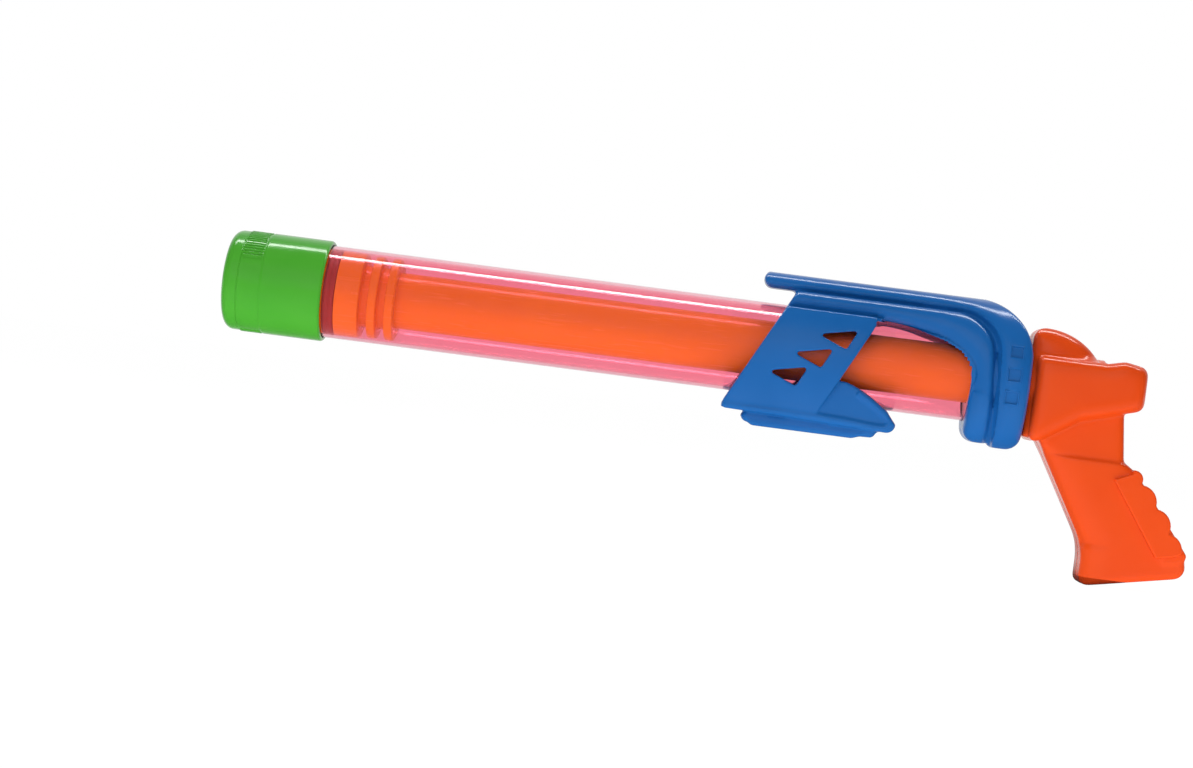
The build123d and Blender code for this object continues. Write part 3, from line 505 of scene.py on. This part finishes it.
# --- Piston and plunger tube ----------------------------------------------------------
# The piston is a long orange plug with the seal's groove and two guide rings behind it. The
# plunger tube is pressed into its rear and runs back to the handle.
piston_low, piston_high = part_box("piston_head")
piston_front = piston_low.x / MM
piston_rear = piston_high.x / MM
piston_r = piston_high.y / MM
nose_end = 67.6
ring_width = 4.4
groove_width = 4.2
ring_r = piston_r - 0.65
core_r = 15.4
plunger_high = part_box("plunger_tube")[1]
plunger_r = plunger_high.y / MM
groove_front = seal_front - 0.15
groove_rear = seal_front + seal_width + 0.15
groove_r = seal_bore_r - 0.05
piston_profile = [
    (piston_front, piston_r - 1.5),
    (piston_front + 0.5, piston_r - 0.6),
    (piston_front + 1.5, piston_r),
    (groove_front - 0.2, piston_r),
    (groove_front, piston_r - 0.2),
    (groove_front, groove_r),
    (groove_rear, groove_r),
    (groove_rear, piston_r - 0.2),
    (groove_rear + 0.2, piston_r),
    (nose_end - 1.0, piston_r),
    (nose_end - 0.3, piston_r - 0.3),
    (nose_end, piston_r - 1.0),
    (nose_end, core_r + 0.8),
    (nose_end + 0.6, core_r),
]
ring_x = nose_end + groove_width
for ring in range(2):
    piston_profile += [
        (ring_x - 0.6, core_r),
        (ring_x, core_r + 0.8),
        (ring_x, ring_r - 1.0),
        (ring_x + 0.3, ring_r - 0.3),
        (ring_x + 1.0, ring_r),
        (ring_x + ring_width - 1.0, ring_r),
        (ring_x + ring_width - 0.3, ring_r - 0.3),
        (ring_x + ring_width, ring_r - 1.0),
        (ring_x + ring_width, core_r + 0.8),
    ]
    if ring == 0:
        piston_profile.append((ring_x + ring_width + 0.6, core_r))
    ring_x += ring_width + groove_width
piston_profile[-1] = (piston_rear, core_r + 0.8)
piston_profile.append((piston_rear, plunger_r + 0.1))
piston_plug = turned("piston_plug", piston_profile, 144)
orange_plastic = plastic(
    "orange_plastic", (0.88, 0.32, 0.004), (0.86, 0.30, 0.003), gloss=0.2, scuffs=0.15, peel=0.03
)
dress(piston_plug, orange_plastic, "plunger", "piston_head")

plunger_seat = 22.0
plunger_front = piston_rear - plunger_seat
plunger_rear = plunger_high.x / MM
plunger_wall = 1.8
plunger_profile = [
    (plunger_front, plunger_r),
    (plunger_rear - 0.4, plunger_r),
    (plunger_rear, plunger_r - 0.4),
    (plunger_rear, plunger_r - plunger_wall),
    (plunger_front, plunger_r - plunger_wall),
    (plunger_front, plunger_r),
]
push_tube = turned("push_tube", plunger_profile, 144, closed=True)
dress(push_tube, orange_plastic, "plunger", "plunger_tube")

# --- Barrel tube ----------------------------------------------------------------------
# An extruded tube of clear pink plastic with a polished wall, open at both ends. The ring
# near its rear end sits in a groove of the fore-grip.
barrel_low, barrel_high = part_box("barrel_tube")
barrel_front = barrel_low.x / MM
barrel_rear = barrel_high.x / MM
bead_r = barrel_high.y / MM
barrel_r = bead_r - 1.2
barrel_bore_r = barrel_r - 1.5
bead_middle = barrel_rear - 12.0
barrel_profile = [(barrel_front, barrel_bore_r + 0.2), (barrel_front, barrel_r - 0.3)]
barrel_profile += [
    (barrel_front + 0.3, barrel_r),
    (bead_middle - 1.9, barrel_r),
    (bead_middle - 1.4, bead_r - 0.3),
    (bead_middle - 0.9, bead_r),
    (bead_middle + 0.9, bead_r),
    (bead_middle + 1.4, bead_r - 0.3),
    (bead_middle + 1.9, barrel_r),
    (barrel_rear - 0.3, barrel_r),
    (barrel_rear, barrel_r - 0.3),
    (barrel_rear, barrel_bore_r + 0.2),
    (barrel_rear - 0.2, barrel_bore_r),
    (barrel_front + 0.2, barrel_bore_r),
    (barrel_front, barrel_bore_r + 0.2),
]
clear_tube = turned("clear_tube", barrel_profile, 192, closed=True)

wall_tint = (0.935, 0.44, 0.52)
cloud_tint = (wall_tint[0], wall_tint[1] * 0.97, wall_tint[2] * 0.98)
clear_pink = bpy.data.materials.new("clear_pink_plastic")
clear_pink.use_nodes = True
tree = clear_pink.node_tree
shader = tree.nodes["Principled BSDF"]
add_surface(tree, wall_tint, cloud_tint, gloss=0.02, scuffs=0.02, cloud_scale=12.0)
shader.inputs["Transmission Weight"].default_value = 1.0
shader.inputs["IOR"].default_value = 1.49
lets_light_in = tree.nodes.new("ShaderNodeBsdfTransparent")
lets_light_in.inputs["Color"].default_value = (1.0, 0.86, 0.9, 1.0)
# light from lamps and from other surfaces passes the wall straight
path = tree.nodes.new("ShaderNodeLightPath")
straight = lets_light_in.outputs[0]
surface = mixed(tree, path.outputs["Is Shadow Ray"], shader.outputs[0], straight)
surface = mixed(tree, path.outputs["Is Diffuse Ray"], surface, straight)
link(tree, surface, tree.nodes["Material Output"].inputs["Surface"])
dress(clear_tube, clear_pink, "barrel", "barrel_tube")


# --- Fore-grip ------------------------------------------------------------------------
# Two blue mouldings that meet on the middle plane and clamp the tube, screwed together from
# the far side. Two rounded bands with a deep groove between them run along the top and down
# round the tube's end, and a saddle with three windows and a lipped tray hangs on the tube.
def activate(piece):
    bpy.ops.object.select_all(action="DESELECT")
    piece.select_set(True)
    bpy.context.view_layer.objects.active = piece


def solid_copy(name, node):
    """A closed copy of a CAD solid's mesh that is free to be shaped."""
    piece = nodes[node].copy()
    piece.data = nodes[node].data.copy()
    piece.name = name
    piece.data.name = name
    piece.parent = None
    for key in list(piece.keys()):
        del piece[key]
    bpy.context.scene.collection.objects.link(piece)
    activate(piece)
    bpy.ops.object.mode_set(mode="EDIT")
    bpy.ops.mesh.select_all(action="SELECT")
    bpy.ops.mesh.remove_doubles(threshold=0.000001)
    bpy.ops.mesh.customdata_custom_splitnormals_clear()
    bpy.ops.object.mode_set(mode="OBJECT")
    return piece


def rope(name, points, radii):
    """A closed round bar along a path in millimetres, with a radius at each point."""
    path = bpy.data.curves.new(name, "CURVE")
    path.dimensions = "3D"
    path.bevel_depth = MM
    path.bevel_resolution = 4
    path.use_fill_caps = True
    line = path.splines.new("POLY")
    line.points.add(len(points) - 1)
    for spot, place, radius in zip(line.points, points, radii):
        spot.co = (place[0] * MM, place[1] * MM, place[2] * MM, 1.0)
        spot.radius = radius
    bar = bpy.data.objects.new(name, path)
    bpy.context.scene.collection.objects.link(bar)
    activate(bar)
    bpy.ops.object.convert(target="MESH")
    bar = bpy.context.object
    bpy.ops.object.mode_set(mode="EDIT")
    bpy.ops.mesh.select_all(action="SELECT")
    bpy.ops.mesh.remove_doubles(threshold=0.000001)
    bpy.ops.mesh.normals_make_consistent(inside=False)
    bpy.ops.object.mode_set(mode="OBJECT")
    return bar


def ball(name, place, radius):
    """A closed ball, placed and sized in millimetres."""
    bpy.ops.object.select_all(action="DESELECT")
    bpy.ops.mesh.primitive_uv_sphere_add(segments=32, ring_count=16, radius=radius * MM)
    knob = start_piece(name)
    bpy.ops.transform.translate(value=(place[0] * MM, place[1] * MM, place[2] * MM))
    bpy.ops.object.mode_set(mode="OBJECT")
    return knob


def block(name, size):
    """A closed box round the origin, sized in millimetres."""
    bpy.ops.object.select_all(action="DESELECT")
    bpy.ops.mesh.primitive_cube_add(size=1.0)
    box = start_piece(name)
    bpy.ops.transform.resize(value=[side * MM for side in size])
    bpy.ops.object.mode_set(mode="OBJECT")
    return box


def cut(piece, cutter, solver="EXACT"):
    """Takes the cutter's volume away from the piece and removes the cutter."""
    trim = piece.modifiers.new("cut", "BOOLEAN")
    trim.operation = "DIFFERENCE"
    trim.solver = solver
    trim.object = cutter
    activate(piece)
    bpy.ops.object.modifier_apply(modifier=trim.name)
    bpy.data.objects.remove(cutter)


def joined(piece, others):
    activate(piece)
    for other in others:
        other.select_set(True)
    bpy.ops.object.join()
    return piece


def even_skin(piece, voxel):
    """Remeshes the piece evenly, which also unites the volumes that overlap in it."""
    activate(piece)
    remesh = piece.modifiers.new("even", "REMESH")
    remesh.mode = "VOXEL"
    remesh.voxel_size = voxel * MM
    remesh.adaptivity = 0.0
    bpy.ops.object.modifier_apply(modifier=remesh.name)


middle_band = 0.9


def relax(piece, passes, bore_r, belongs=None):
    """Rounds edges and creases; the middle plane and the bore stay where they fit."""
    group = piece.vertex_groups.new(name="relaxed")
    chosen = []
    for vertex in piece.data.vertices:
        place = vertex.co / MM
        if abs(place.y) < middle_band or place.yz.length < bore_r:
            continue
        if belongs is None or belongs(place):
            chosen.append(vertex.index)
    group.add(chosen, 1.0, "REPLACE")
    smooth = piece.modifiers.new("relax", "SMOOTH")
    smooth.factor = 0.5
    smooth.iterations = passes
    smooth.vertex_group = group.name
    activate(piece)
    bpy.ops.object.modifier_apply(modifier=smooth.name)
    piece.vertex_groups.clear()


def quarter_round(distance, reach, depth):
    """How far a surface falls away near an edge, as a quarter of an oval does."""
    near = 1 - min(max(distance / reach, 0.0), 1.0)
    return depth * (1 - sqrt(1 - near * near))


def fall_away(piece, rule):
    """Moves the outer skin towards the middle plane by the depth that the rule gives."""
    for vertex in piece.data.vertices:
        place = vertex.co / MM
        depth = rule(place.x, abs(place.y), place.z)
        if depth > 0:
            vertex.co.y -= depth * MM if place.y > 0 else -depth * MM


# all measures are in millimetres, in the side view's X and Z
grip_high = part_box("grip_left")[1]
collar_rear = grip_high.x / MM
rail_top = grip_high.z / MM
split_x = collar_rear - 17.8
split_top = 30.3
split_bend_r = 20.0
split_foot_lean = 2.2
split_foot_drop = 37.5
spine_half = 12.5
collar_half = 28.5
crown_spine = 12.5
crown_collar = 37.5
belly = 33.5
shoulder_rear = collar_rear - 10.0
shoulder_front = shoulder_rear - 42.0


def tier_surface(x, z):
    """How far the bands' surface stands from the middle plane at a place in the side view."""
    share = min(max((x - shoulder_front) / (shoulder_rear - shoulder_front), 0.0), 1.0)
    swell = share * share * (3 - 2 * share)
    half = spine_half + (collar_half - spine_half) * swell
    crown = crown_spine + (crown_collar - crown_spine) * swell
    rise = (z - (rail_top - crown)) / crown if z > 0 else (z + 1) / belly
    return half * sqrt(max(1 - rise * rise, 0.0)) if rise > 0 or z < -1 else half


opening_front = collar_rear - 74.9
opening_length = 46.0
opening_top = 20.8
opening_drop = 28.8
opening_middle_drop = 8.0
saddle_top = 22.5
saddle_rear = 325.0
bands_front = 262.0
collar_front = 366.0
tube_clearance_r = 24.5
skin_depth = 5.5
skin_fade = 3.0
edge_reach = 8.5
edge_depth = 4.2
heel_reach = 6.0
heel_depth = 4.0
inner_reach = 8.0
inner_depth = 4.5


def band_rounding(x, y, z):
    """The bands' depth below their plain surface: both are rounded off at their edges."""
    on_saddle = x < saddle_rear and z < saddle_top - 0.5
    if x < bands_front or on_saddle or (z < 0 and x < collar_front):
        return 0.0
    skin = min(max((y - tier_surface(x, z) + skin_depth) / skin_fade, 0.0), 1.0)
    if skin == 0 or Vector((y, z)).length < tube_clearance_r:
        return 0.0
    # how far the place lies outside the groove's line
    centre_x, centre_z = split_x - split_bend_r, split_top - split_bend_r
    if x > centre_x and z > centre_z:
        beyond = sqrt((x - centre_x) ** 2 + (z - centre_z) ** 2) - split_bend_r
    elif x > centre_x:
        beyond = x - split_x - split_foot_lean * (centre_z - z) / split_foot_drop
    else:
        beyond = z - split_top
    depth = quarter_round(abs(beyond), edge_reach, edge_depth)
    if beyond > 0:
        depth += quarter_round(collar_rear - x, edge_reach, edge_depth)
    elif x < saddle_rear:
        depth += quarter_round(z - saddle_top, heel_reach, heel_depth)
    elif z > opening_top - opening_drop:
        along = (x - opening_front) / opening_length
        up = (z + opening_middle_drop) / opening_drop
        reach = sqrt(along ** 2 + up ** 2)
        depth += quarter_round((reach - 1) * opening_drop, inner_reach, inner_depth)
    else:
        depth += quarter_round(x - opening_front - opening_length, inner_reach, inner_depth)
    return skin * depth


groove_r = 2.2
groove_line = [(262.0, split_top), (300.0, split_top), (340.0, split_top)]
groove_line += arc((split_x - split_bend_r, split_top - split_bend_r), split_bend_r, 90, 0, 10)
groove_line += [(split_x + split_foot_lean * step / 5, 10.3 - 7.5 * step) for step in range(1, 6)]
groove_line += [(split_x + split_foot_lean, -31.0), (split_x + split_foot_lean, -38.0)]
lip_y = 20.6
lip_line = [(253.5, -29.8), (262.0, -30.0), (280.0, -30.0), (300.0, -30.3), (315.0, -31.0)]
lip_line += [(326.0, -31.9), (332.0, -31.8)]
lip_line += [(335.0, -29.2), (331.0, -24.8), (324.2, -20.4), (317.0, -16.4)]
pad_y = 14.3
pad_line = [(264.6, -34.4), (290.0, -35.2), (310.0, -35.2), (325.6, -34.4)]
pad_r = 3.0
lip_r = 2.2
mark_x = collar_rear - 8.8
mark_heights = (13.5, 2.2, -9.1)
mark_size = 5.6
mark_depth = 1.0
mark_rim = 0.5
mark_rim_sink = 1.3 * mark_rim
mark_reach = mark_size / 2 + mark_rim
mark_half = collar_half + 1.5
mark_box_height = 4.0
stub_size = (16.0, 20.5, 22.0)
stub_place = Vector((323.0, 10.25, 9.0))
fit_r = 24.0
upper_band_z = 24.0
rear_band_x = 345.0
blue_plastic = plastic(
    "blue_plastic", (0.008, 0.115, 0.385), (0.011, 0.125, 0.41), gloss=0.2, scuffs=0.04, peel=0.03
)
for side, sign in (("left", -1), ("right", 1)):
    shell = solid_copy(f"fore_grip_{side}", f"grip_{side}")
    groove = [(x, sign * tier_surface(x, z), z) for x, z in groove_line]
    cut(shell, rope("groove", groove, [groove_r] * len(groove)))
    # the inner corner at the opening's front is cleared down to the tube
    stub = block("stub", stub_size)
    stub.data.transform(
        Matrix.Translation(Vector((stub_place.x, sign * stub_place.y, stub_place.z)) * MM)
    )
    cut(shell, stub)
    # the saddle's lip and the tray's pad become round bars
    lip = [(x, sign * lip_y, z) for x, z in lip_line]
    pad = [(x, sign * pad_y, z) for x, z in pad_line]
    bars = [rope("lip", lip, [lip_r] * len(lip)), rope("pad", pad, [pad_r] * len(pad))]
    bars.append(ball("lip_end", lip[0], lip_r))
    bars += [ball("pad_end", pad[0], pad_r), ball("pad_end", pad[-1], pad_r)]
    joined(shell, bars)
    even_skin(shell, 0.6)
    fall_away(shell, band_rounding)
    relax(shell, 6, fit_r)
    relax(shell, 14, fit_r, lambda place: place.z > upper_band_z or place.x > rear_band_x)
    # square marks with a raised rim, square to the band's surface
    boxes = []
    rims = []
    for z in mark_heights:
        y = sign * mark_half * sqrt(1 - (z / rail_top) ** 2)
        outward = Vector((0, y / mark_half ** 2, z / rail_top ** 2)).normalized()
        turn = outward.to_track_quat("Z", "X").to_matrix().to_4x4()
        place = Vector((mark_x, y, z)) * MM
        box = block("mark_box", (mark_size, mark_size, mark_box_height))
        raised = outward * (mark_box_height / 2 - mark_depth) * MM
        box.data.transform(Matrix.Translation(place + raised) @ turn)
        boxes.append(box)
        corners = []
        for across, along in ((-1, -1), (1, -1), (1, 1), (-1, 1), (-1, -1), (1, -1)):
            corner = Vector((across * mark_reach, along * mark_reach, -mark_rim_sink))
            corners.append(turn @ corner + place / MM)
        rims.append(rope("rim", corners, [mark_rim] * len(corners)))
    cut(shell, joined(boxes[0], boxes[1:]), "MANIFOLD")
    joined(shell, rims)
    activate(shell)
    bpy.ops.object.shade_smooth_by_angle(angle=radians(40))
    dress(shell, blue_plastic, "barrel", f"grip_{side}")

# --- Handle ---------------------------------------------------------------------------
# Two orange shells that meet on the middle plane and close on the plunger tube and its pin:
# a domed hood over the tube, a broad block beside it and a pistol grip with a raised palm rest.
handle_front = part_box("handle_left")[0].x / MM
palm_half = 18.2
palm_rim = 1.3
back_angle = -51.5
back_top = Vector((handle_front + 57.8, -37.0))
back_run = Vector((cos(radians(back_angle)), sin(radians(back_angle))))
back_inwards = Vector((back_run.y, -back_run.x))
trim_size = Vector((54.0, 60.0, 8.0))
trim_middle = 26.5
# each lobe's place along the back, its radius and how far it stands out
lobes = [(2.5, 4.5, 1.6), (13.5, 8.5, 2.1), (27.2, 8.5, 1.9), (40.4, 8.5, 0.4)]
lobe_rise = 2.4
handle_plastic = plastic(
    "handle_plastic", (0.80, 0.076, 0.008), (0.78, 0.070, 0.007), gloss=0.18, scuffs=0.04, peel=0.03
)


def palm_outline():
    """The palm rest's outline in the side view: a slanted straight edge and rounded lobes."""
    points = [back_top - back_run * 2.6 + back_inwards * 11.4, back_top + back_inwards * 2.0]
    for place, radius, height in lobes:
        centre = back_top + back_run * place + back_inwards * (radius - height)
        half_chord = sqrt(radius ** 2 - (radius - lobe_rise) ** 2)
        reach = degrees(atan2(half_chord, radius - lobe_rise))
        for step in range(9):
            angle = radians(back_angle + 90 + reach - 2 * reach * step / 8)
            points.append(centre + radius * Vector((cos(angle), sin(angle))))
    points.append(back_top + back_run * 46.0 + back_inwards * 5.0)
    points.append(back_top + back_run * 41.5 + back_inwards * 14.2)
    return points


# the shell's outlines behind the handle's front face, which its edges are rounded from
block_top = 14.0
block_front = 2.5
block_rear = 58.0
crest_x = 46.0
crest_half_length = 9.0
crest_rise = 2.2
chin_x = 27.0
chin_drop = 15.5
hood_foot = 14.5
hood_top = 28.0
hood_front_r = 6.0
hood_length = 32.0
grip_start = 31.0
grip_knee = 76.0
knee_x = 36.0


def block_rounding(behind, z):
    top = block_top + crest_rise * max(1 - abs(behind - crest_x) / crest_half_length, 0.0) - z
    if behind < chin_x:
        low = (z + chin_drop + 0.68 * (chin_x - behind)) * 0.83
    else:
        low = z + chin_drop - 0.28 * (behind - chin_x)
    end = min(behind - block_front, block_rear - behind)
    depth = quarter_round(top, 9.0, 3.6) + quarter_round(low, 8.0, 3.6)
    return depth + quarter_round(end, 7.0, 3.0)


def hood_rounding(behind, z):
    along = max(behind - hood_front_r, 0.0) / hood_length
    reach = sqrt(along ** 2 + (z / hood_top) ** 2)
    depth = quarter_round(min((1 - reach) * hood_top, behind + 2.0), 13.0, 7.0)
    return depth * min((z - hood_foot) / 2, 1.0)


def grip_rounding(behind, z):
    if z > -grip_knee:
        front = (behind - 10.0) * 0.86 - (-z - 30.0) * 0.51
    else:
        front = behind - knee_x
    return quarter_round(front, 14.0, 6.5) * min((-z - grip_start) / 4, 1.0)


def handle_rounding(x, y, z):
    """Rounds off the block's, the hood's and the grip's long edges."""
    behind = x - handle_front
    on_block = min(max((y - 16.5) / 2.5, 0.0), 1.0) if z > -33 else 0.0
    if on_block:
        return on_block * block_rounding(behind, z)
    outer = min((y - 8) / 7, 1.0)
    if outer > 0 and z > hood_foot:
        return outer * hood_rounding(behind, z)
    if outer > 0 and z < -grip_start:
        return outer * grip_rounding(behind, z)
    return 0.0


for side, sign in (("left", -1), ("right", 1)):
    shell = solid_copy(f"pistol_{side}", f"handle_{side}")
    # the lobes come off and are part of the palm rest below
    trim = block("trim", trim_size)
    middle = back_top + back_run * trim_middle - back_inwards * trim_size.z / 2
    tilt = Matrix.Rotation(radians(-back_angle), 4, "Y")
    trim.data.transform(Matrix.Translation(Vector((middle.x, 0, middle.y)) * MM) @ tilt)
    cut(shell, trim)
    even_skin(shell, 0.6)
    fall_away(shell, handle_rounding)
    relax(shell, 25, 14.8)
    bpy.ops.object.select_all(action="DESELECT")
    outline = palm_outline()
    bpy.ops.mesh.primitive_circle_add(vertices=len(outline), radius=0.01, fill_type="NGON")
    rest = start_piece("palm_rest")
    bpy.ops.object.mode_set(mode="OBJECT")
    for vertex, point in zip(rest.data.vertices, outline):
        vertex.co = (point.x * MM, 0.0, point.y * MM)
    bpy.ops.object.mode_set(mode="EDIT")
    bpy.ops.mesh.select_all(action="SELECT")
    step = (0, sign * palm_half * MM, 0)
    bpy.ops.mesh.extrude_region_move(TRANSFORM_OT_translate={"value": step})
    finish_piece(rest)
    rim = rest.modifiers.new("rim", "BEVEL")
    rim.width = palm_rim * MM
    rim.segments = 4
    rim.limit_method = "ANGLE"
    rim.angle_limit = radians(60)
    activate(rest)
    bpy.ops.object.modifier_apply(modifier=rim.name)
    joined(shell, [rest])
    activate(shell)
    bpy.ops.object.shade_smooth_by_angle(angle=radians(40))
    dress(shell, handle_plastic, "plunger", f"handle_{side}")

# --- Screws and pin -------------------------------------------------------------------
# Zinc-plated self-tapping screws, entered from the far side, and a plain steel cross pin.
steel = bpy.data.materials.new("zinc_steel")
steel.use_nodes = True
tree = steel.node_tree
zinc = (0.56, 0.56, 0.57)
clouded_zinc = (0.50, 0.50, 0.49)
add_surface(tree, zinc, clouded_zinc, gloss=0.3, scuffs=0.2, cloud_scale=400.0)
tree.nodes["Principled BSDF"].inputs["Metallic"].default_value = 1.0
for node in ("grip_screws", "handle_screws", "plunger_pin"):
    nodes[node].data.materials.clear()
    nodes[node].data.materials.append(steel)
